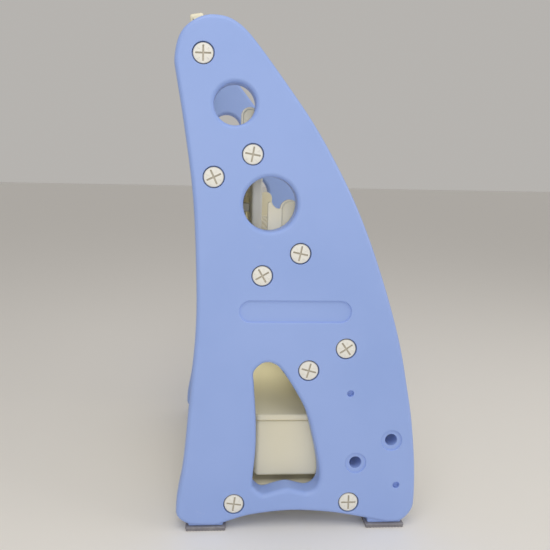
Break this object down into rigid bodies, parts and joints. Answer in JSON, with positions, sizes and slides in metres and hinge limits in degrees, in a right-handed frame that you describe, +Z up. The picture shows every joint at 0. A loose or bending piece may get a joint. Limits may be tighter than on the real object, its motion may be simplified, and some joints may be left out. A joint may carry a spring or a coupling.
{
  "type": "toddler slide",
  "caption": "Folding toddler slide: moulded side panels with closed steps, a platform and a two-section chute that folds flat behind the steps.",
  "frame": {"origin": "middle of the footprint at floor level, under the centre of the bounding box", "axes": "+X towards the climbing side, +Y across the width, +Z up"},
  "size_m": [0.4833, 0.54, 1.0058],
  "materials": {
    "panel_blue": "satin",
    "cream": "satin",
    "riser_white": "satin",
    "screw_cream": "satin",
    "chute_cream": "smooth",
    "pad_grey": "matte",
    "steel": "zinc plated"
  },
  "bodies": {
    "frame": {"near_panel": "panel_blue", "far_panel": "panel_blue", "foot_pads": "pad_grey", "head_hoop": "cream", "platform": "cream", "upper_step": "cream", "middle_step": "cream", "lower_step": "cream", "base_board": "cream", "upper_riser": "riser_white", "middle_riser": "riser_white", "lower_riser": "riser_white", "step_screws": "screw_cream", "head_screws": "screw_cream", "base_screws": "screw_cream", "pivot_screws": "screw_cream", "step_sockets": "screw_cream", "head_sockets": "screw_cream", "base_sockets": "screw_cream", "lower_step_screws": "steel", "stow_buffers": "riser_white", "buffer_screws": "steel"},
    "upper_section": {"upper_chute": "chute_cream", "fold_pins": "steel"},
    "lower_section": {"lower_chute": "chute_cream", "tip_strip": "pad_grey"}
  },
  "joints": [
    {"name": "chute_swing", "type": "hinge", "parent": "frame", "child": "upper_section", "pos_m": [-0.1672, 0, 0.6899], "axis": [0, 1, 0], "range_deg": [0, 55]},
    {"name": "chute_fold", "type": "hinge", "parent": "upper_section", "child": "lower_section", "pos_m": [-0.1612, 0, 0.1009], "axis": [0, -1, 0], "range_deg": [0, 180]}
  ],
  "couplings": [
    {"joint": "chute_fold", "follows": "chute_swing", "ratio": 3.2727}
  ]
}
